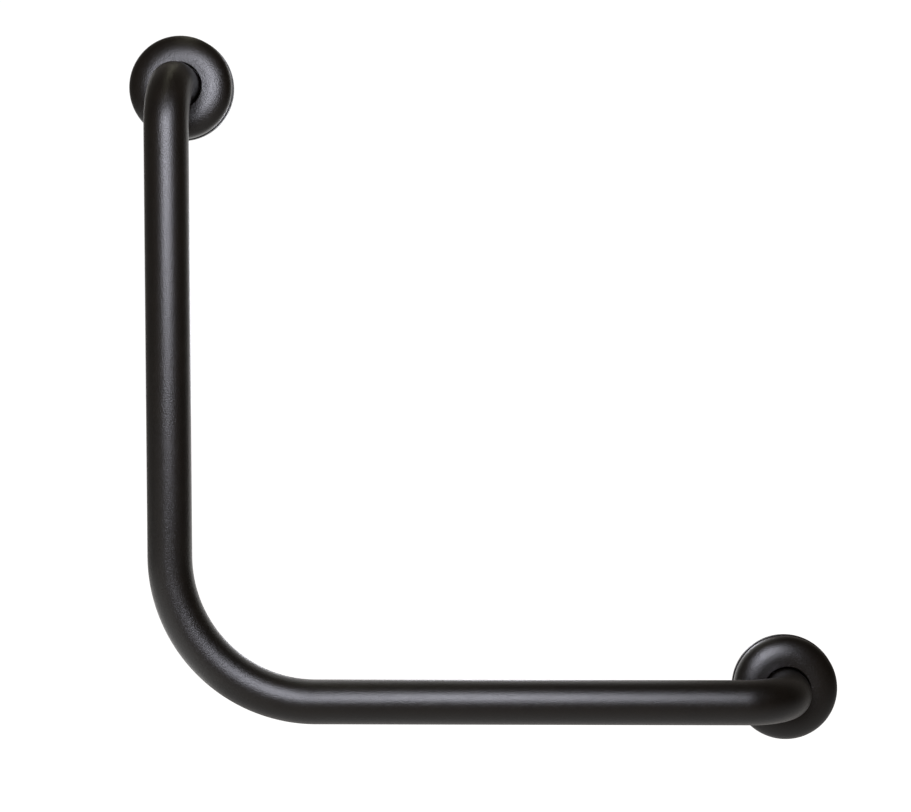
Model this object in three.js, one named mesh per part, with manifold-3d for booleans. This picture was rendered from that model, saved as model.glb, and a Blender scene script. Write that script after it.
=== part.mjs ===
// An L-shaped assist rail for beside a bed, a bath or a toilet, fixed to the wall at both ends.
//
// One round tube is bent into two equal legs, and each end turns back to the wall and is welded
// to a round mounting plate. Three screws hold each plate, and a loose cover snaps over them.
//
// Millimetres, +Z up. The wall is the plane y = 0, and the rail stands off it towards -Y. The
// origin is the centre of the lower plate's back, where the axis of the tube's end meets the wall.
// Profiles of turned pieces are lists of [radius, height off the wall].

import * as THREE from "three";
import { mergeVertices } from "three/addons/utils/BufferGeometryUtils.js";
import Module from "manifold-3d";

const wasm = await Module();
wasm.setup();

// ---- Driving dimensions ----

const LEG_LENGTH = 450; // from a flange's axis to the centreline of the other leg
const TUBE_RADIUS = 16;
const TUBE_WALL = 1.5;
const STANDOFF = 66; // wall to the centreline of both legs
const CORNER_BEND = 105; // centreline radius where the legs meet
const END_BEND = 38; // centreline radius where a leg turns to the wall

const PLATE_RADIUS = 38.9;
const PLATE_RIM = 3; // thickness of the rim that shows behind the cover
const PLATE_THICKNESS = 5;
const REGISTER_RADIUS = 36.5; // the step that the cover snaps over
const PLATE_CHAMFER = 0.4;

const COVER_RADIUS = 38.5;
const COVER_HEIGHT = 19.6; // wall to the front of the cover
const COVER_SHEET = 1.2;
const COVER_HOLE = 17.2; // radius of the hole that the tube comes through
const COVER_SHOULDER = 16.8; // how far the dome reaches in from the largest radius
const COVER_WAIST = 8.8; // height of the largest radius
const COLLAR_DEPTH = 3.2; // the hole's edge, turned in towards the wall
const COLLAR_ROUND = 0.8;

const FIXINGS = 3; // screws in each plate
const FIXING_CIRCLE = 27; // radius of the circle that they stand on
const SCREW_RADIUS = 2.4;
const SCREW_LENGTH = 35;
const SCREW_POINT = 6;
const HEAD_RADIUS = 4.6;
const HEAD_HEIGHT = 3.2;
const HEAD_EDGE = 1.3; // straight edge of the pan head, below its dome
const HEAD_SHOULDER = { radius: 3.2, height: 2.8 }; // a point part of the way up the dome
const SCREW_HOLE = 2.9;
const RECESS = { length: 4.4, width: 1.1, depth: 1.8 }; // the cross recess in a screw's head
const WASHER_RADIUS = 5.5;
const WASHER_BORE = 2.65;
const WASHER_THICKNESS = 1.2;

const PLUG_RADIUS = 4;
const PLUG_TIP = 3;
const PLUG_TAPER = 9; // length over which the plug narrows to its tip
const PLUG_BORE = 2.7;
const PLUG_LENGTH = 30;
const PLUG_END = 2.5; // solid end beyond the bore
const PLUG_SET_BACK = 3; // the plug starts this far behind the wall's face
const PLUG_SLOT = { width: 1, length: 22 };
const PLUG_FIN = { width: 9.6, length: 8, thickness: 0.9, setBack: 2 };

const WELD_LEG = 3.8;
const WELD_BELLY = 0.58; // how far out the weld's face bulges, as a share of its leg: 0.5 is flat
const SEAT = 0.3; // gap between pieces that rest on each other

// Flat sides that stand for a round: on the large pieces, on the small ones, and in quarter turns
const FLANGE_SIDES = 32;
const WELD_SIDES = 24;
const TUBE_SIDES = 24;
const HOLE_SIDES = 16;
const FIXING_SIDES = 12;
const END_BEND_STEPS = 10;
const CORNER_BEND_STEPS = 14;

// ---- Materials ----

const powderCoat = new THREE.MeshStandardMaterial({ color: 0x1c1a1a, roughness: 0.42, metalness: 0 });
const zincSteel = new THREE.MeshStandardMaterial({ color: 0xb9b6ad, roughness: 0.35, metalness: 1 });
const nylon = new THREE.MeshStandardMaterial({ color: 0x8d8f90, roughness: 0.6, metalness: 0 });

// ---- Shape helpers ----

// A profile of [radius, height off the wall] turned about the flange's axis. It is listed with the
// solid on its left, radius pointing right and height up. Height is -Y, which turns the order round.
function turned(profile, sides) {
  const points = profile.map(([radius, height]) => new THREE.Vector2(radius, -height));
  return new THREE.LatheGeometry(points.reverse(), sides);
}

// Points on a quarter of an ellipse, from the angle `from` to the angle `to`, both ends included.
function ellipseArc(centre, radii, from, to, steps) {
  return Array.from({ length: steps + 1 }, (_, i) => {
    const angle = from + ((to - from) * i) / steps;
    return [centre[0] + radii[0] * Math.cos(angle), centre[1] + radii[1] * Math.sin(angle)];
  });
}

function toSolid(geometry) {
  const bare = geometry.clone();
  bare.deleteAttribute("normal");
  bare.deleteAttribute("uv");
  const merged = mergeVertices(bare, 1e-5);
  return new wasm.Manifold(
    new wasm.Mesh({
      numProp: 3,
      vertProperties: Float32Array.from(merged.attributes.position.array),
      triVerts: Uint32Array.from(merged.index.array),
    }),
  );
}

function toGeometry(solid) {
  const mesh = solid.getMesh();
  const geometry = new THREE.BufferGeometry();
  geometry.setAttribute("position", new THREE.BufferAttribute(mesh.vertProperties, mesh.numProp));
  geometry.setIndex(new THREE.BufferAttribute(mesh.triVerts, 1));
  geometry.computeVertexNormals();
  return geometry;
}

// `geometry` with `extras` joined on and then `cuts` taken away.
function carved(geometry, cuts, extras = []) {
  let solid = toSolid(geometry);
  for (const extra of extras) {
    solid = solid.add(toSolid(extra));
  }
  for (const cut of cuts) {
    solid = solid.subtract(toSolid(cut));
  }
  return toGeometry(solid);
}

function named(name, geometry, material) {
  const mesh = new THREE.Mesh(geometry, material);
  mesh.name = name;
  return mesh;
}

// ---- The bent tube ----

// A centreline of straights and bends. Each straight is one step and each bend is several, so
// getPointAt and getTangentAt go by steps and not by length.
class TubeLine extends THREE.Curve {
  constructor(start, corners, end) {
    super();
    this.stations = [{ point: start, tangent: corners[0].at.clone().sub(start).normalize() }];
    corners.forEach((corner, i) => {
      const next = corners[i + 1]?.at ?? end;
      const into = this.stations.at(-1).tangent;
      const away = next.clone().sub(corner.at).normalize();
      this.addBend(corner, into, away);
    });
    this.stations.push({ point: end, tangent: this.stations.at(-1).tangent });
  }

  // A right-angle bend about the corner from the direction `into` to the direction `away`.
  addBend({ at, radius, steps }, into, away) {
    const centre = at.clone().addScaledVector(into, -radius).addScaledVector(away, radius);
    for (let i = 0; i <= steps; i += 1) {
      const angle = ((Math.PI / 2) * i) / steps;
      const [along, across] = [Math.sin(angle), Math.cos(angle)];
      this.stations.push({
        point: centre.clone().addScaledVector(away, -radius * across).addScaledVector(into, radius * along),
        tangent: into.clone().multiplyScalar(across).addScaledVector(away, along),
      });
    }
  }

  get steps() {
    return this.stations.length - 1;
  }

  getPointAt(share) {
    return this.stations[Math.round(share * this.steps)].point.clone();
  }

  getTangentAt(share) {
    return this.stations[Math.round(share * this.steps)].tangent.clone();
  }
}

// A bend of the tube's centreline about a corner in the plane of the legs.
function bend(x, z, radius, steps) {
  return { at: new THREE.Vector3(x, -STANDOFF, z), radius, steps };
}

function railTube() {
  const endHeight = PLATE_THICKNESS + SEAT;
  const line = new TubeLine(
    new THREE.Vector3(0, -endHeight, 0),
    [
      bend(0, 0, END_BEND, END_BEND_STEPS),
      bend(-LEG_LENGTH, 0, CORNER_BEND, CORNER_BEND_STEPS),
      bend(-LEG_LENGTH, LEG_LENGTH, END_BEND, END_BEND_STEPS),
    ],
    new THREE.Vector3(-LEG_LENGTH, -endHeight, LEG_LENGTH),
  );
  const section = new THREE.Shape().absarc(0, 0, TUBE_RADIUS, 0, 2 * Math.PI);
  section.holes.push(new THREE.Path().absarc(0, 0, TUBE_RADIUS - TUBE_WALL, 0, 2 * Math.PI));
  const tube = new THREE.ExtrudeGeometry(section, {
    extrudePath: line,
    steps: line.steps,
    curveSegments: TUBE_SIDES / 2,
  });
  return named("rail_tube", tube, powderCoat);
}

// ---- The pieces of one flange, about its axis and with the wall at y = 0 ----

// The directions, in the wall's plane, of a flange's screws. The first is opposite to the tube's
// run, so that a screwdriver reaches all three past the tube.
function fixingSpots(runAngle) {
  return Array.from({ length: FIXINGS }, (_, i) => {
    const angle = runAngle + Math.PI + (2 * Math.PI * i) / FIXINGS;
    return new THREE.Vector3(FIXING_CIRCLE * Math.cos(angle), 0, FIXING_CIRCLE * Math.sin(angle));
  });
}

function mountingPlate(name, spots) {
  const edge = PLATE_CHAMFER;
  const disc = turned(
    [
      [0, 0],
      [PLATE_RADIUS - edge, 0],
      [PLATE_RADIUS, edge],
      [PLATE_RADIUS, PLATE_RIM - edge],
      [PLATE_RADIUS - edge, PLATE_RIM],
      [REGISTER_RADIUS, PLATE_RIM],
      [REGISTER_RADIUS, PLATE_THICKNESS - edge],
      [REGISTER_RADIUS - edge, PLATE_THICKNESS],
      [0, PLATE_THICKNESS],
    ],
    FLANGE_SIDES,
  );
  const depth = 4 * PLATE_THICKNESS; // past both faces
  const holes = spots.map((spot) =>
    new THREE.CylinderGeometry(SCREW_HOLE, SCREW_HOLE, depth, HOLE_SIDES).translate(...spot),
  );
  return named(name, carved(disc, holes), powderCoat);
}

// The fillet of weld between the tube's end and the plate, a little full.
function weldBead(name) {
  const inner = TUBE_RADIUS + SEAT;
  const base = PLATE_THICKNESS + SEAT;
  const belly = WELD_BELLY * WELD_LEG;
  const profile = [
    [inner, base],
    [inner + WELD_LEG, base],
    [inner + belly, base + belly],
    [inner, base + WELD_LEG],
    [inner, base],
  ];
  return named(name, turned(profile, WELD_SIDES), powderCoat);
}

// A pressed cover: a short skirt, a broad dome, a narrow flat and a turned-in collar.
function flangeCover(name) {
  const shoulderFoot = [COVER_RADIUS - COVER_SHOULDER, COVER_WAIST];
  const rise = COVER_HEIGHT - COVER_WAIST;
  const rimHeight = PLATE_RIM + SEAT;
  const skirt = COVER_RADIUS - SEAT;
  const collarTop = COVER_HEIGHT - COLLAR_ROUND;
  const collarFoot = COVER_HEIGHT - COLLAR_DEPTH;
  const outside = [
    [skirt, rimHeight],
    ...ellipseArc(shoulderFoot, [COVER_SHOULDER, rise], 0, Math.PI / 2, 7),
    ...ellipseArc(
      [COVER_HOLE + COLLAR_ROUND, collarTop], [COLLAR_ROUND, COLLAR_ROUND], Math.PI / 2, Math.PI, 3,
    ),
    [COVER_HOLE, collarFoot],
  ];
  const inside = [
    [COVER_HOLE + COVER_SHEET, collarFoot],
    [COVER_HOLE + COVER_SHEET, COVER_HEIGHT - COVER_SHEET],
    ...ellipseArc(
      shoulderFoot, [COVER_SHOULDER - COVER_SHEET, rise - COVER_SHEET], Math.PI / 2, 0, 6,
    ),
    [skirt - COVER_SHEET, rimHeight],
  ];
  const profile = [...outside, ...inside, outside[0]];
  return named(name, turned(profile, FLANGE_SIDES), powderCoat);
}

function washer(name) {
  const [low, high] = [PLATE_THICKNESS + SEAT, PLATE_THICKNESS + SEAT + WASHER_THICKNESS];
  const profile = [
    [WASHER_BORE, low],
    [WASHER_RADIUS, low],
    [WASHER_RADIUS, high],
    [WASHER_BORE, high],
    [WASHER_BORE, low],
  ];
  return named(name, turned(profile, HOLE_SIDES), zincSteel);
}

// A pan-head screw with a cross recess. Its thread is left off.
function screw(name) {
  const seat = PLATE_THICKNESS + WASHER_THICKNESS + 2 * SEAT;
  const crown = seat + HEAD_HEIGHT;
  const end = seat - SCREW_LENGTH;
  const body = turned(
    [
      [0, end],
      [SCREW_RADIUS, end + SCREW_POINT],
      [SCREW_RADIUS, seat],
      [HEAD_RADIUS, seat],
      [HEAD_RADIUS, seat + HEAD_EDGE],
      [HEAD_SHOULDER.radius, seat + HEAD_SHOULDER.height],
      [0, crown],
    ],
    FIXING_SIDES,
  );
  const slots = [RECESS.length, RECESS.width].map((across) => {
    const other = RECESS.length + RECESS.width - across;
    return new THREE.BoxGeometry(across, 2 * RECESS.depth, other).translate(0, -crown, 0);
  });
  return named(name, carved(body, slots), zincSteel);
}

// A wall plug: a split sleeve with two fins that stop it turning in its hole.
function wallPlug(name) {
  const front = -PLUG_SET_BACK;
  const end = front - PLUG_LENGTH;
  const boreEnd = end + PLUG_END;
  const sleeve = turned(
    [
      [0, end],
      [PLUG_TIP, end],
      [PLUG_RADIUS, end + PLUG_TAPER],
      [PLUG_RADIUS, front],
      [0, front],
    ],
    FIXING_SIDES,
  );
  const finMiddle = -front + PLUG_FIN.setBack + PLUG_FIN.length / 2;
  const fins = new THREE.BoxGeometry(PLUG_FIN.width, PLUG_FIN.length, PLUG_FIN.thickness);
  fins.translate(0, finMiddle, 0);
  const boreLength = 2 * (front - boreEnd);
  const bore = new THREE.CylinderGeometry(PLUG_BORE, PLUG_BORE, boreLength, FIXING_SIDES);
  bore.translate(0, -front, 0);
  const slot = new THREE.BoxGeometry(PLUG_SLOT.width, 2 * PLUG_SLOT.length, 4 * PLUG_RADIUS);
  slot.translate(0, -end, 0);
  return named(name, carved(sleeve, [bore, slot], [fins]), nylon);
}

// ---- Assembly ----

function flange(side, place, runAngle) {
  const group = new THREE.Group();
  group.position.copy(place);
  const spots = fixingSpots(runAngle);
  group.add(
    mountingPlate(`mounting_plate_${side}`, spots),
    weldBead(`weld_bead_${side}`),
    flangeCover(`flange_cover_${side}`),
  );
  spots.forEach((spot, i) => {
    const fixing = new THREE.Group();
    fixing.position.copy(spot);
    const label = `${side}_${i + 1}`;
    fixing.add(screw(`screw_${label}`), washer(`washer_${label}`), wallPlug(`wall_plug_${label}`));
    group.add(fixing);
  });
  return group;
}

const rail = new THREE.Group();
rail.add(
  railTube(),
  flange("lower", new THREE.Vector3(0, 0, 0), Math.PI),
  flange("upper", new THREE.Vector3(-LEG_LENGTH, 0, LEG_LENGTH), -Math.PI / 2),
);

export default rail;
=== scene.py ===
"""A wall-mounted, L-shaped assist rail in satin black powder coat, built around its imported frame.

One bent tube, two welded mounting plates with their screws, washers and wall plugs, and two loose
domed covers. Metres, +Z up. The wall would be the plane y = 0, and the rail stands off it to -Y.

Places and outer sizes are read from the frame. Only what a box can't tell, such as a bend's radius
or a sheet's thickness, is a named value here.
"""

import math

import bmesh
import bpy
from mathutils import Matrix, Vector


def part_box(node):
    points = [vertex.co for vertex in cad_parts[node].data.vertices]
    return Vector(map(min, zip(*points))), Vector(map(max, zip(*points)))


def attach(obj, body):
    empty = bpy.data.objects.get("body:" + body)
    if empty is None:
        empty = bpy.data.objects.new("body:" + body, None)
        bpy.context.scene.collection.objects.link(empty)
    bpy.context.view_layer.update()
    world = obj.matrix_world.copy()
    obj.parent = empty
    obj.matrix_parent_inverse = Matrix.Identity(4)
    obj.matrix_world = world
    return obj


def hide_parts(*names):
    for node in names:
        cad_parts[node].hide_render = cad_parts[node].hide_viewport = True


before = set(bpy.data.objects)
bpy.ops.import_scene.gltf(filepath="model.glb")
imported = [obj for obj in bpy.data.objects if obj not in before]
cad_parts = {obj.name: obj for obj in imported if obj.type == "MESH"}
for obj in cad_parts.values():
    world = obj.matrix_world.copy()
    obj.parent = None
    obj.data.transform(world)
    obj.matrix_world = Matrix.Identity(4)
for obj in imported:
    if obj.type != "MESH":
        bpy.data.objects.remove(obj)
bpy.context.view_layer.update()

MM = 0.001
WALL_NORMAL = Vector((0, -1, 0))

# ---- Sizes that the frame's boxes don't tell ----

TUBE_WALL = 1.5 * MM
CORNER_BEND = 105 * MM  # centreline radius where the legs meet
END_BEND = 38 * MM  # centreline radius where a leg turns to the wall
CORNER_SQUEEZE = 0.004  # share by which the section flattens in each bend
END_SQUEEZE = 0.018

COVER_SHEET = 1.2 * MM
COVER_HOLE = 17.2 * MM
COVER_SHOULDER = 16.8 * MM  # how far the dome reaches in from the largest radius
COVER_WAIST = 8.8 * MM  # height of the cover's largest radius
COLLAR_ROUND = 0.8 * MM
COLLAR_DEPTH = 3.2 * MM
SKIRT_INSET = 0.3 * MM  # how far the skirt's foot is inside the largest radius
SKIRT_ROUND = 0.5 * MM

PLATE_RIM = 3 * MM
REGISTER_RADIUS = 36.5 * MM
SCREW_HOLE = 2.9 * MM
DRILL_OVERRUN = 2 * MM  # how far a drill runs past both faces

WELD_RIPPLES = 34
RIPPLE_HEIGHT = 0.14 * MM

SHANK_RADIUS = 2.4 * MM
THREAD_DEPTH = 0.55 * MM
THREAD_PITCH = 1.8 * MM
THREAD_TO_HEAD = 4 * MM  # plain shank under the head
POINT_LENGTH = 5 * MM
HEAD_HEIGHT = 3.2 * MM
HEAD_EDGE = 1.3 * MM
RECESS_REACH = 2.2 * MM
RECESS_ARM = 0.55 * MM
RECESS_DEPTH = 1.8 * MM

WASHER_BORE = 2.65 * MM

PLUG_BORE = 2.7 * MM
PLUG_TIP = 3 * MM
PLUG_BARB = 0.35 * MM
PLUG_BARBS = 7
PLUG_SLOT = 1 * MM
PLUG_SLOT_SHARE = 0.74  # of the plug's length, from its tip
PLUG_END = 2.5 * MM  # solid end beyond the bore
PLUG_EDGE = 0.6 * MM
PLUG_TAPER_SHARE = 0.35  # of the length, over which the tip widens
PLUG_BARBED_SHARE = 0.7
FIN_START = 2 * MM  # from the mouth
FIN_END = 10 * MM
FIN_RISE = 1 * MM
FIN_FALL = 5 * MM

FIXINGS = 3

# ---- How fine the meshes are ----

TUBE_SIDES = 96
FLANGE_SIDES = 160
RIPPLE_SIDES = 10  # for each ripple of a weld
SCREW_SIDES = 96
WASHER_SIDES = 64
PLUG_SIDES = 144
DRILL_SIDES = 48
PLUG_ROWS = 120
THREAD_ROWS = 10  # for each turn
END_BEND_STEPS = 40
CORNER_BEND_STEPS = 72
STRAIGHT_STEP = 12 * MM


# ---- The frame ----

class Turned:
    """The place and outer size of a piece turned about an axis square to the wall."""

    def __init__(self, node):
        self.low, self.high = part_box(node)
        middle = (self.low + self.high) / 2
        self.axis = Vector((middle.x, 0, middle.z))
        self.radius = (self.high.z - self.low.z) / 2
        self.base = -self.high.y  # heights off the wall
        self.top = -self.low.y


def tube_facts():
    """The tube's radius, its stand-off, how high off the wall its ends are, and the two points of
    the wall that they face."""
    low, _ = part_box("rail_tube")
    lower = Turned("mounting_plate_lower")
    upper = Turned("mounting_plate_upper")
    radius = upper.axis.x - low.x
    end_height = -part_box("rail_tube")[1].y
    return radius, -low.y - radius, end_height, lower.axis, upper.axis


# ---- Meshes ----

def mesh_piece(name, points, faces, material):
    """A smooth-shaded mesh object of those points and faces."""
    mesh = bpy.data.meshes.new(name)
    mesh.from_pydata(points, [], faces)
    mesh.validate()
    build = bmesh.new()
    build.from_mesh(mesh)
    bmesh.ops.recalc_face_normals(build, faces=build.faces)
    build.to_mesh(mesh)
    build.free()
    mesh.shade_smooth()
    mesh.materials.append(material)
    piece = bpy.data.objects.new(name, mesh)
    bpy.context.scene.collection.objects.link(piece)
    return piece


def skinned(name, rings, material, closed):
    """A surface through rings of equally many points. A ring of one point is a pole. Closed joins
    the last ring to the first."""
    points = []
    starts = []
    for ring in rings:
        starts.append(len(points))
        points.extend(ring)
    faces = []
    pairs = list(zip(range(len(rings)), range(1, len(rings))))
    if closed:
        pairs.append((len(rings) - 1, 0))
    for a, b in pairs:
        count = max(len(rings[a]), len(rings[b]))
        for i in range(count):
            j = (i + 1) % count
            corners = [starts[a] + i, starts[a] + j, starts[b] + j, starts[b] + i]
            if len(rings[a]) == 1:
                corners = [starts[a], starts[b] + j, starts[b] + i]
            if len(rings[b]) == 1:
                corners = [starts[a] + i, starts[a] + j, starts[b]]
            faces.append(corners)
    return mesh_piece(name, points, faces, material)


def revolved(name, axis, profile, sides, material, shape=None):
    """A profile of (radius, height off the wall) turned about an axis. It closes on itself unless
    it starts and ends on the axis. shape(radius, height, angle) may move each point."""
    on_axis = profile[0][0] == 0 and profile[-1][0] == 0
    rings = []
    for radius, height in profile:
        ring = []
        for i in range(1 if radius == 0 else sides):
            angle = 2 * math.pi * i / sides
            r, h = shape(radius, height, angle) if shape else (radius, height)
            ring.append(axis + Vector((r * math.cos(angle), -h, r * math.sin(angle))))
        rings.append(ring)
    return skinned(name, rings, material, closed=not on_axis)


def rounded(corners, steps=5):
    """A polygon of (radius, height, fillet) with each corner turned into an arc. A support point
    stands just off each end of an arc, to keep the shading of the flats beside it flat."""
    profile = []
    for i, (x, y, fillet) in enumerate(corners):
        corner = Vector((x, y))
        before = Vector(corners[i - 1][:2])
        after = Vector(corners[(i + 1) % len(corners)][:2])
        if fillet == 0:
            profile.append((x, y))
            continue
        back = (before - corner).normalized()
        on = (after - corner).normalized()
        half = back.angle(on) / 2
        reach = fillet / math.tan(half)
        centre = corner + (back + on).normalized() * fillet / math.sin(half)
        start, end = corner + back * reach, corner + on * reach
        profile.append(tuple(start + back * min(0.4 * fillet, (before - start).length / 3)))
        first = start - centre
        turn = first.angle_signed(end - centre)
        for step in range(steps + 1):
            arm = first.copy()
            arm.rotate(Matrix.Rotation(-turn * step / steps, 2))
            profile.append(tuple(centre + arm))
        profile.append(tuple(end + on * min(0.4 * fillet, (after - end).length / 3)))
    return profile


def ellipse(centre, radii, start, end, steps):
    """Points (radius, height) on part of an ellipse, both ends included."""
    angles = [start + (end - start) * i / steps for i in range(steps + 1)]
    return [(centre[0] + radii[0] * math.cos(a), centre[1] + radii[1] * math.sin(a)) for a in angles]


def cut(piece, cutters):
    """Takes the cutters out of a piece, and marks its sharper edges sharp."""
    for cutter in cutters:
        modifier = piece.modifiers.new("cut", "BOOLEAN")
        modifier.operation = "DIFFERENCE"
        modifier.solver = "EXACT"
        modifier.object = cutter
    bpy.context.view_layer.update()
    shaped = piece.evaluated_get(bpy.context.evaluated_depsgraph_get())
    mesh = bpy.data.meshes.new_from_object(shaped)
    piece.modifiers.clear()
    piece.data = mesh
    mesh.shade_smooth()
    mesh.set_sharp_from_angle(angle=math.radians(32))
    for cutter in cutters:
        bpy.data.objects.remove(cutter)
    return piece


def drill(axis, radius, base, top, sides=DRILL_SIDES):
    """A plain cylinder to cut with, from one height off the wall to another."""
    profile = [(0, base), (radius, base), (radius, top), (0, top)]
    return revolved("cutter", axis, profile, sides, None)


def placed(piece, body, slot, *nodes):
    """Fixes a finished piece to its body and hides the frame's nodes that it stands for. The slot, its
    finish, is not used.
    """
    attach(piece, body)
    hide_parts(*nodes)
    return piece


# ---- Materials ----

def new_material(name):
    material = bpy.data.materials.new(name)
    material.use_nodes = True
    nodes = material.node_tree.nodes
    return material, nodes, material.node_tree.links, nodes["Principled BSDF"]


def noise(nodes, links, scale, detail=2.0, roughness=0.5):
    """Noise in the row's own metres, so that its grain has a real size."""
    place = nodes.new("ShaderNodeTexCoord")
    texture = nodes.new("ShaderNodeTexNoise")
    texture.inputs["Scale"].default_value = scale
    texture.inputs["Detail"].default_value = detail
    texture.inputs["Roughness"].default_value = roughness
    links.new(place.outputs["Object"], texture.inputs["Vector"])
    return texture.outputs["Fac"]


def spread(nodes, links, value, low, high, start=0.35, end=0.65):
    """Stretches a noise value's middle over a range from low to high."""
    node = nodes.new("ShaderNodeMapRange")
    node.inputs["From Min"].default_value = start
    node.inputs["From Max"].default_value = end
    node.inputs["To Min"].default_value = low
    node.inputs["To Max"].default_value = high
    links.new(value, node.inputs["Value"])
    return node.outputs["Result"]


def two_tones(nodes, links, value, dark, light):
    node = nodes.new("ShaderNodeMix")
    node.data_type = "RGBA"
    node.inputs[6].default_value = (*dark, 1)
    node.inputs[7].default_value = (*light, 1)
    links.new(value, node.inputs["Factor"])
    return node.outputs[2]


def bumps(nodes, links, shader, layers):
    """Stacks bump layers of (height value, distance in metres, strength) on a shader."""
    normal = None
    for height, distance, strength in layers:
        bump = nodes.new("ShaderNodeBump")
        bump.inputs["Distance"].default_value = distance
        bump.inputs["Strength"].default_value = strength
        links.new(height, bump.inputs["Height"])
        if normal:
            links.new(normal, bump.inputs["Normal"])
        normal = bump.outputs["Normal"]
    links.new(normal, shader.inputs["Normal"])


def powder_coat():
    """Satin black powder coat: a fine grain over a shallow orange peel."""
    material, nodes, links, shader = new_material("satin_black_powder_coat")
    tone = spread(nodes, links, noise(nodes, links, 60, 3), 0, 1)
    links.new(two_tones(nodes, links, tone, (0.0024, 0.0016, 0.0008), (0.0038, 0.0026, 0.0014)),
              shader.inputs["Base Color"])
    sheen = noise(nodes, links, 900, 2)
    links.new(spread(nodes, links, sheen, 0.30, 0.38), shader.inputs["Roughness"])
    peel = noise(nodes, links, 420, 1)
    grain = noise(nodes, links, 1300, 1, 0.6)
    bumps(nodes, links, shader, [(peel, 0.04 * MM, 1), (grain, 0.17 * MM, 1)])
    return material


def zinc_plate():
    """Bright zinc plate over steel, a little blotched."""
    material, nodes, links, shader = new_material("zinc_plated_steel")
    shader.inputs["Metallic"].default_value = 1
    blotch = spread(nodes, links, noise(nodes, links, 350, 4), 0, 1)
    links.new(two_tones(nodes, links, blotch, (0.52, 0.51, 0.48), (0.74, 0.73, 0.69)),
              shader.inputs["Base Color"])
    links.new(spread(nodes, links, noise(nodes, links, 1400, 3), 0.22, 0.4), shader.inputs["Roughness"])
    bumps(nodes, links, shader, [(noise(nodes, links, 2600, 2), 0.02 * MM, 0.5)])
    return material


def nylon():
    """Grey moulded nylon with a faint flow mottle and a spark-eroded skin."""
    material, nodes, links, shader = new_material("grey_nylon")
    mottle = spread(nodes, links, noise(nodes, links, 240, 3), 0, 1)
    links.new(two_tones(nodes, links, mottle, (0.25, 0.26, 0.27), (0.33, 0.34, 0.35)),
              shader.inputs["Base Color"])
    links.new(spread(nodes, links, noise(nodes, links, 1200, 2), 0.42, 0.58), shader.inputs["Roughness"])
    shader.inputs["Subsurface Weight"].default_value = 0.15
    shader.inputs["Subsurface Scale"].default_value = 1 * MM
    bumps(nodes, links, shader, [(noise(nodes, links, 3000, 2), 0.03 * MM, 0.5)])
    return material


# ---- The tube ----

def smooth_step(value):
    value = min(1, max(0, value))
    return value * value * (3 - 2 * value)


def bend_stations(corner, into, away, radius, squeeze, steps):
    """Stations (point, tangent, inward, squeeze) round a right-angle bend about a corner. The
    flattening eases in over the bend's first quarter, and out over its last."""
    centre = corner + (away - into) * radius
    stations = []
    for i in range(steps + 1):
        share = i / steps
        angle = share * math.pi / 2
        along, across = math.sin(angle), math.cos(angle)
        point = centre - away * radius * across + into * radius * along
        tangent = into * across + away * along
        flat = squeeze * smooth_step(4 * min(share, 1 - share))
        stations.append((point, tangent, (centre - point).normalized(), flat))
    return stations


def straight_stations(start, end, spacing):
    """Stations along a straight, without its two ends, which the bends give."""
    tangent = (end - start).normalized()
    inward = tangent.orthogonal().normalized()
    count = max(2, round((end - start).length / spacing))
    return [(start.lerp(end, i / count), tangent, inward, 0) for i in range(1, count)]


def tube_stations():
    """The whole centreline, from the lower plate to the upper one."""
    radius, standoff, end_height, lower, upper = tube_facts()
    out = WALL_NORMAL * standoff
    first = lower + WALL_NORMAL * end_height
    last = upper + WALL_NORMAL * end_height
    corners = [
        (lower + out, END_BEND, END_SQUEEZE, END_BEND_STEPS),
        (Vector((upper.x, -standoff, lower.z)), CORNER_BEND, CORNER_SQUEEZE, CORNER_BEND_STEPS),
        (upper + out, END_BEND, END_SQUEEZE, END_BEND_STEPS),
    ]
    ends = [first] + [corner[0] for corner in corners] + [last]
    into = WALL_NORMAL
    stations = [(first, into, Vector((1, 0, 0)), 0)]
    for i, (corner, bend, squeeze, steps) in enumerate(corners):
        away = (ends[i + 2] - corner).normalized()
        arc = bend_stations(corner, into, away, bend, squeeze, steps)
        stations += straight_stations(stations[-1][0], arc[0][0], STRAIGHT_STEP)
        stations += arc
        into = away
    stations += straight_stations(stations[-1][0], last, STRAIGHT_STEP)
    stations.append((last, into, Vector((1, 0, 0)), 0))
    return stations, radius


def tube_rings(stations, radius, sides):
    """Rings of points round the stations, carried along without twist."""
    _, tangent, normal, _ = stations[0]
    rings = []
    for point, next_tangent, inward, squeeze in stations:
        normal.rotate(tangent.rotation_difference(next_tangent))
        tangent = next_tangent
        side = tangent.cross(normal)
        ring = []
        for i in range(sides):
            angle = 2 * math.pi * i / sides
            arm = (normal * math.cos(angle) + side * math.sin(angle)) * radius
            pull = arm.dot(inward) * squeeze
            ring.append(point + arm * (1 + squeeze / 2) - inward * 1.5 * pull)
        rings.append(ring)
    return rings


def build_tube(material):
    stations, radius = tube_stations()
    outside = tube_rings(stations, radius, TUBE_SIDES)
    first = (stations[0][0], stations[0][1], Vector((1, 0, 0)), 0)
    inside = tube_rings([first] + stations[1:], radius - TUBE_WALL, TUBE_SIDES)
    piece = skinned("bent_rail_tube", outside + inside[::-1], material, closed=True)
    piece.data.set_sharp_from_angle(angle=math.radians(60))
    placed(piece, "rail", "black_powder_coat", "rail_tube")


# ---- The flanges ----

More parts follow.
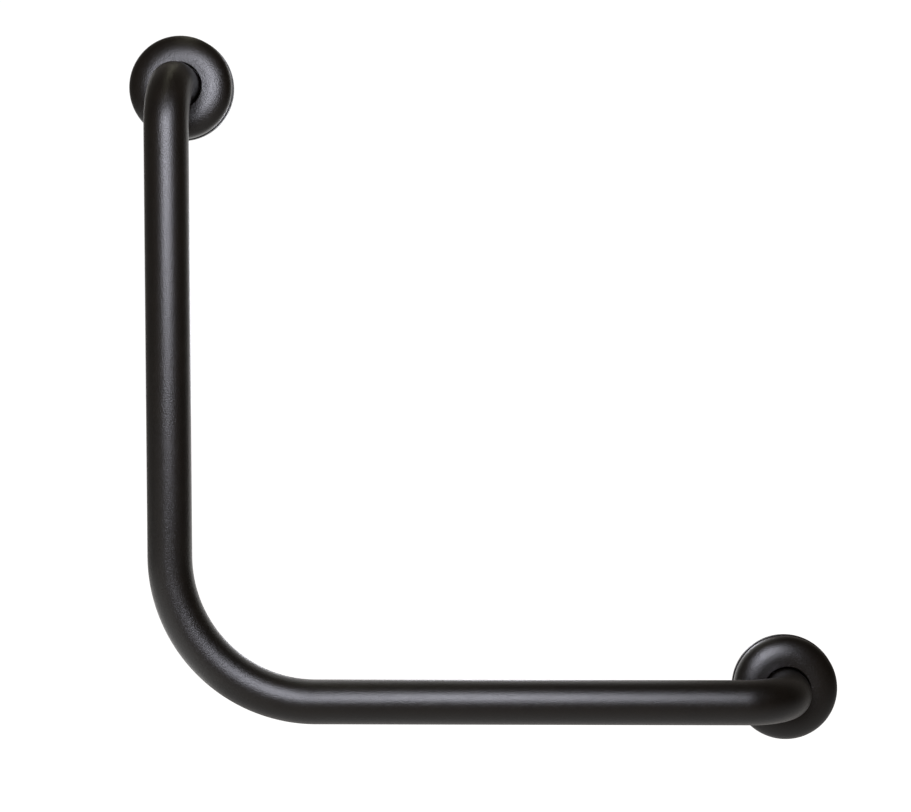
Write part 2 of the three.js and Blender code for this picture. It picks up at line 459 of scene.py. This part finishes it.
def build_cover(side, material):
    """A pressed cover: a short skirt, a broad dome, a narrow flat and a turned-in collar."""
    cad = Turned(f"flange_cover_{side}")
    foot = (cad.radius - COVER_SHOULDER, COVER_WAIST)
    rise = cad.top - COVER_WAIST
    skirt = cad.radius - SKIRT_INSET
    foot_round = (skirt - SKIRT_ROUND, cad.base + SKIRT_ROUND)
    collar_foot = cad.top - COLLAR_DEPTH
    collar = (COVER_HOLE + COLLAR_ROUND, cad.top - COLLAR_ROUND)
    quarter = math.pi / 2
    outside = (
        ellipse(foot_round, (SKIRT_ROUND, SKIRT_ROUND), -quarter, 0, 5)
        + ellipse(foot, (COVER_SHOULDER, rise), 0, quarter, 40)
        + ellipse(collar, (COLLAR_ROUND, COLLAR_ROUND), quarter, 2 * quarter, 8)
    )
    lip = ellipse(
        (COVER_HOLE + COVER_SHEET / 2, collar_foot + COVER_SHEET / 2),
        (COVER_SHEET / 2, COVER_SHEET / 2), 2 * quarter, 4 * quarter, 8,
    )
    inside = (
        [(COVER_HOLE + COVER_SHEET, cad.top - COVER_SHEET)]
        + ellipse(foot, (COVER_SHOULDER - COVER_SHEET, rise - COVER_SHEET), quarter, 0, 32)
        + [(skirt - COVER_SHEET, cad.base)]
    )
    piece = revolved(f"domed_cover_{side}", cad.axis, outside + lip + inside, FLANGE_SIDES, material)
    piece.data.set_sharp_from_angle(angle=math.radians(50))
    placed(piece, f"cover_{side}", "black_powder_coat", f"flange_cover_{side}")


def fixing_axes(side):
    return [Turned(f"screw_{side}_{i + 1}").axis for i in range(FIXINGS)]


def build_plate(side, material):
    """A stepped steel disc with a hole for each screw."""
    cad = Turned(f"mounting_plate_{side}")
    profile = rounded([
        (cad.radius, cad.base, 0.2 * MM),
        (cad.radius, PLATE_RIM, 0.25 * MM),
        (REGISTER_RADIUS, PLATE_RIM, 0.3 * MM),
        (REGISTER_RADIUS, cad.top, 0.6 * MM),
        (0, cad.top, 0),
        (0, cad.base, 0),
    ])
    profile = profile[-1:] + profile[:-1]
    piece = revolved(f"welded_plate_{side}", cad.axis, profile, FLANGE_SIDES, material)
    piece.data.set_sharp_from_angle(angle=math.radians(50))
    base, top = cad.base - DRILL_OVERRUN, cad.top + DRILL_OVERRUN
    holes = [drill(axis, SCREW_HOLE, base, top) for axis in fixing_axes(side)]
    placed(cut(piece, holes), "rail", "black_powder_coat", f"mounting_plate_{side}")


def build_weld(side, material):
    """A fillet of weld with the ripples that its pool leaves."""
    cad = Turned(f"weld_bead_{side}")
    leg = cad.top - cad.base
    inner = cad.radius - leg
    face = ellipse((inner, cad.base), (leg, leg), 0, math.pi / 2, 14)
    belly = [(inner + (r - inner) * 0.93, cad.base + (h - cad.base) * 0.93) for r, h in face]

    def ripple(radius, height, angle):
        climb = math.atan2(height - cad.base, max(radius - inner, 1e-9)) / (math.pi / 2)
        arch = 0.8 * (2 * climb - 1) ** 2
        wave = (WELD_RIPPLES * angle / (2 * math.pi) + arch) % 1
        fall = RIPPLE_HEIGHT * wave * math.sin(math.pi * climb)
        return radius - fall * 0.7, height - fall * 0.7

    profile = [(inner, cad.base)] + belly
    piece = revolved(f"weld_{side}", cad.axis, profile, WELD_RIPPLES * RIPPLE_SIDES, material, ripple)
    placed(piece, "rail", "black_powder_coat", f"weld_bead_{side}")


def recess(radius, angle):
    """How deep a cross recess is at a point of a screw's head."""
    x, z = abs(radius * math.cos(angle)), abs(radius * math.sin(angle))
    near, far = min(x, z), max(x, z)
    wall = min(RECESS_ARM - near, (RECESS_REACH - far) * 0.9)
    return RECESS_DEPTH * smooth_step(0.5 + wall / (0.5 * MM)) * (1 - 0.35 * far / RECESS_REACH)


def build_screw(label, material):
    """A pan-head screw with a cross recess and a rolled thread."""
    cad = Turned(f"screw_{label}")
    seat = cad.top - HEAD_HEIGHT
    tip = cad.base
    thread_start = tip + POINT_LENGTH
    thread_end = seat - THREAD_TO_HEAD
    rows = round((thread_end - tip) / (THREAD_PITCH / THREAD_ROWS))
    shank = [(SHANK_RADIUS, tip + (thread_end - tip) * (i + 1) / rows) for i in range(rows)]
    dome = ellipse((0, seat + HEAD_EDGE), (cad.radius, HEAD_HEIGHT - HEAD_EDGE), 0, math.pi / 2, 44)
    head = [(SHANK_RADIUS, seat), (cad.radius - 0.3 * MM, seat), (cad.radius, seat + 0.3 * MM)]
    profile = [(0, tip)] + shank + head + dome[:-1] + [(0, cad.top)]

    def shape(radius, height, angle):
        if height <= thread_end:
            point = smooth_step((height - tip) / (thread_start - tip))
            turn = (height / THREAD_PITCH - angle / (2 * math.pi)) % 1
            crest = max(0, 1 - abs(2 * turn - 1) * 2.2)
            fade = smooth_step((thread_end - height) / THREAD_PITCH)
            return point * (radius - THREAD_DEPTH * fade * (1 - crest)), height
        if height > seat + HEAD_EDGE:
            return radius, height - recess(radius, angle)
        return radius, height

    piece = revolved(f"pan_head_screw_{label}", cad.axis, profile, SCREW_SIDES, material, shape)
    pole = len(piece.data.vertices) - 1
    piece.data.vertices[pole].co.y += RECESS_DEPTH
    piece.data.set_sharp_from_angle(angle=math.radians(50))
    placed(piece, "rail", "zinc_plated_steel", f"screw_{label}")


def build_washer(label, material):
    """A stamped washer, rolled over at the edges that the punch entered."""
    cad = Turned(f"washer_{label}")
    profile = rounded([
        (WASHER_BORE, cad.base, 0.1 * MM),
        (cad.radius, cad.base, 0.1 * MM),
        (cad.radius, cad.top, 0.35 * MM),
        (WASHER_BORE, cad.top, 0.35 * MM),
    ])
    piece = revolved(f"flat_washer_{label}", cad.axis, profile, WASHER_SIDES, material)
    placed(piece, "rail", "zinc_plated_steel", f"washer_{label}")


def build_plug(label, material):
    """A barbed wall plug, split from its tip, with two fins near its mouth."""
    cad = Turned(f"wall_plug_{label}")
    end, mouth = cad.base, cad.top
    length = mouth - end
    fin_low, fin_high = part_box(f"wall_plug_{label}")
    fin_reach = (fin_high.x - fin_low.x) / 2
    body = [
        (cad.radius, end + PLUG_EDGE + (length - PLUG_EDGE) * i / PLUG_ROWS)
        for i in range(PLUG_ROWS + 1)
    ]
    profile = [(0, end), (cad.radius - 0.5 * MM, end)] + body + [(0, mouth)]

    def shape(radius, height, angle):
        taper = smooth_step((height - end) / (PLUG_TAPER_SHARE * length))
        limit = PLUG_TIP + (cad.radius - PLUG_TIP) * taper
        share = (height - end) / (PLUG_BARBED_SHARE * length)
        barb = PLUG_BARB * ((share * PLUG_BARBS) % 1) if share < 1 else 0
        from_mouth = mouth - height
        rise = smooth_step((from_mouth - FIN_START) / FIN_RISE)
        ramp = rise * smooth_step((FIN_END - from_mouth) / FIN_FALL)
        sharpness = max(0, abs(math.cos(angle)) - 0.985) / 0.015
        fin = (fin_reach - cad.radius) * ramp * min(1, sharpness * 1.6)
        return min(radius, limit - barb) + fin, height

    piece = revolved(f"barbed_plug_{label}", cad.axis, profile, PLUG_SIDES, material, shape)
    slot_low = Vector((-PLUG_SLOT / 2, -(end + PLUG_SLOT_SHARE * length), -2 * cad.radius)) + cad.axis
    slot_high = Vector((PLUG_SLOT / 2, -(end - MM), 2 * cad.radius)) + cad.axis
    bore = drill(cad.axis, PLUG_BORE, end + PLUG_END, mouth + MM)
    cut(piece, [bore, brick(slot_low, slot_high)])
    placed(piece, "rail", "grey_nylon", f"wall_plug_{label}")


def brick(low, high):
    """A plain box to cut with."""
    build = bmesh.new()
    bmesh.ops.create_cube(build, size=1)
    for vertex in build.verts:
        share = vertex.co + Vector((0.5, 0.5, 0.5))
        vertex.co = Vector(low[i] + (high[i] - low[i]) * share[i] for i in range(3))
    mesh = bpy.data.meshes.new("cutter")
    build.to_mesh(mesh)
    build.free()
    box = bpy.data.objects.new("cutter", mesh)
    bpy.context.scene.collection.objects.link(box)
    return box


# ---- The studio ----

MOUNTING_HEIGHT = 0.75  # from the floor to the middle of the rail
CAMERA_BACK = 1.324  # from the wall's plane
# Right of and above the middle of the rail
CAMERA_ASIDE = 0.0216
CAMERA_ABOVE = 0.0246
# Where the camera looks, in the plane of the legs, from the middle of the rail
AIM_ASIDE = -0.0186
AIM_ABOVE = -0.0121
CAMERA_ROLL = math.radians(-0.24)
CAMERA_LENS = 69.58

# Places from the middle of the rail, on the wall
SOFT_BOX_PLACE = Vector((-0.03, -0.739, 0.319))
SOFT_BOX_SIZE = (0.466, 0.502)
SOFT_BOX_RADIANCE = 11.2
WINDOW_PLACE = Vector((-0.381, -2.295, 0.649))
WINDOW_SIZE = (0.509, 0.852)
WINDOW_RADIANCE = 12
BACK_CARD_PLACE = Vector((-0.162, 0.335, 0.05))
BACK_CARD_SIZE = (0.7, 0.741)
BACK_CARD_RADIANCE = 0.84
LOW_CARD_PLACE = Vector((-0.968, -0.153, -0.428))
LOW_CARD_SIZE = (1.173, 2.539)
LOW_CARD_RADIANCE = 0.8
OVERHEAD_PLACE = Vector((-0.24, -0.2, 0.8))
OVERHEAD_SIZE = (0.04, 1.4)
OVERHEAD_RADIANCE = 2
BACK_BOX_PLACE = Vector((-0.02, 1.7, 0.12))
BACK_BOX_SIZE = (0.3, 0.3)
BACK_BOX_RADIANCE = 5
COOL_LIGHT = (0.96, 0.97, 1.09)
WARM_LIGHT = (1.05, 1.02, 0.8)

BACKGROUND_STRENGTH = 1.05
FLOOR_REACH = 30  # from the middle of the rail to each side of the floor

# The dim room that the rail mirrors: colours by how far a direction points along an axis, -1 to 1
ROOM = {
    "X": [(-1, (0.07, 0.07, 0.07)), (0, (0, 0, 0)), (1, (0, 0, 0))],
    "Y": [(-1, (0.13, 0.1, 0.08)), (0, (0.021, 0.017, 0.013)), (1, (0.24, 0.22, 0.2))],
    "Z": [(-1, (0.64, 0.63, 0.63)), (0, (0, 0, 0)), (1, (0.006, 0.005, 0.003))],
}


def rail_middle():
    """The middle of the rail's outline, on the wall."""
    lower = Turned("mounting_plate_lower").axis
    upper = Turned("mounting_plate_upper").axis
    return (lower + upper) / 2


def aimed(place, target):
    """A matrix at place whose -Z looks at target with Z up."""
    turn = (target - place).to_track_quat("-Z", "Y")
    return Matrix.Translation(place) @ turn.to_matrix().to_4x4()


def build_camera():
    _, standoff, _, _, _ = tube_facts()
    middle = rail_middle()
    place = middle + Vector((CAMERA_ASIDE, -CAMERA_BACK, CAMERA_ABOVE))
    target = middle + Vector((AIM_ASIDE, -standoff, AIM_ABOVE))
    data = bpy.data.cameras.new("camera")
    data.lens = CAMERA_LENS
    camera = bpy.data.objects.new("camera", data)
    bpy.context.scene.collection.objects.link(camera)
    camera.matrix_world = aimed(place, target) @ Matrix.Rotation(CAMERA_ROLL, 4, "Z")
    bpy.context.scene.camera = camera


def panel(name, matrix, size, radiance, colour):
    """A flat light that shines along its matrix's -Z, and that the camera doesn't see."""
    data = bpy.data.lights.new(name, "AREA")
    data.shape = "RECTANGLE"
    data.size, data.size_y = size
    data.energy = radiance * math.pi * size[0] * size[1]
    data.color = colour
    light = bpy.data.objects.new(name, data)
    light.visible_camera = False
    bpy.context.scene.collection.objects.link(light)
    light.matrix_world = matrix


def build_lights():
    """A soft box in front, a window high behind the camera, a box and a card behind the rail, a
    card below that shines up, and a warm strip above that shines down."""
    _, standoff, _, _, _ = tube_facts()
    middle = rail_middle()
    target = middle + WALL_NORMAL * standoff
    soft_box = aimed(middle + SOFT_BOX_PLACE, target)
    panel("soft_box", soft_box, SOFT_BOX_SIZE, SOFT_BOX_RADIANCE, COOL_LIGHT)
    window = aimed(middle + WINDOW_PLACE, target)
    panel("window", window, WINDOW_SIZE, WINDOW_RADIANCE, COOL_LIGHT)
    back_box = aimed(middle + BACK_BOX_PLACE, target)
    panel("back_box", back_box, BACK_BOX_SIZE, BACK_BOX_RADIANCE, COOL_LIGHT)
    back_card = Matrix.Translation(middle + BACK_CARD_PLACE) @ Matrix.Rotation(-math.pi / 2, 4, "X")
    panel("back_card", back_card, BACK_CARD_SIZE, BACK_CARD_RADIANCE, (1, 1, 1))
    low_card = Matrix.Translation(middle + LOW_CARD_PLACE) @ Matrix.Rotation(math.pi, 4, "X")
    panel("low_card", low_card, LOW_CARD_SIZE, LOW_CARD_RADIANCE, (1, 1, 1))
    overhead = Matrix.Translation(middle + OVERHEAD_PLACE)
    panel("overhead", overhead, OVERHEAD_SIZE, OVERHEAD_RADIANCE, WARM_LIGHT)


def build_world():
    """White for the eye. What the rail mirrors is a dim room, palest below and behind."""
    world = bpy.data.worlds.new("studio")
    bpy.context.scene.world = world
    world.use_nodes = True
    nodes, links = world.node_tree.nodes, world.node_tree.links
    seen = nodes["Background"]
    seen.inputs["Color"].default_value = (1, 1, 1, 1)
    seen.inputs["Strength"].default_value = BACKGROUND_STRENGTH
    direction = nodes.new("ShaderNodeTexCoord")
    parts = nodes.new("ShaderNodeSeparateXYZ")
    links.new(direction.outputs["Generated"], parts.inputs["Vector"])
    total = None
    for axis, stops in ROOM.items():
        share = nodes.new("ShaderNodeMapRange")
        share.inputs["From Min"].default_value = -1
        links.new(parts.outputs[axis], share.inputs["Value"])
        ramp = nodes.new("ShaderNodeValToRGB")
        for i, (place, colour) in enumerate(stops):
            stop = ramp.color_ramp.elements[i] if i < 2 else ramp.color_ramp.elements.new(1)
            stop.position = (place + 1) / 2
            stop.color = (*colour, 1)
        links.new(share.outputs["Result"], ramp.inputs["Fac"])
        level = ramp.outputs["Color"]
        if total:
            add = nodes.new("ShaderNodeVectorMath")
            links.new(total, add.inputs[0])
            links.new(level, add.inputs[1])
            level = add.outputs["Vector"]
        total = level
    mirrored = nodes.new("ShaderNodeBackground")
    links.new(total, mirrored.inputs["Color"])
    which = nodes.new("ShaderNodeLightPath")
    mix = nodes.new("ShaderNodeMixShader")
    links.new(which.outputs["Is Camera Ray"], mix.inputs["Fac"])
    links.new(mirrored.outputs["Background"], mix.inputs[1])
    links.new(seen.outputs["Background"], mix.inputs[2])
    links.new(mix.outputs["Shader"], nodes["World Output"].inputs["Surface"])


def build_floor():
    """A pale studio floor, far wider than the view."""
    reach = FLOOR_REACH
    level = rail_middle() - Vector((0, 0, MOUNTING_HEIGHT))
    corners = [(-reach, -reach), (reach, -reach), (reach, reach), (-reach, reach)]
    material, _, _, shader = new_material("pale_floor")
    shader.inputs["Base Color"].default_value = (0.86, 0.86, 0.86, 1)
    shader.inputs["Roughness"].default_value = 0.9
    shader.inputs["Emission Color"].default_value = (1, 1, 1, 1)
    shader.inputs["Emission Strength"].default_value = 1
    points = [level + Vector((x, y, 0)) for x, y in corners]
    floor = mesh_piece("floor", points, [(0, 1, 2, 3)], material)
    floor.visible_glossy = False
    floor.visible_diffuse = False


def build_studio():
    build_camera()
    build_world()
    build_floor()
    build_lights()
    bpy.context.scene.view_settings.view_transform = "Standard"


# ---- Everything together ----

def build_object():
    coat, steel, plastic = powder_coat(), zinc_plate(), nylon()
    build_tube(coat)
    for side in ("lower", "upper"):
        build_cover(side, coat)
        build_plate(side, coat)
        build_weld(side, coat)
        for i in range(FIXINGS):
            label = f"{side}_{i + 1}"
            build_screw(label, steel)
            build_washer(label, steel)
            build_plug(label, plastic)


build_studio()
build_object()
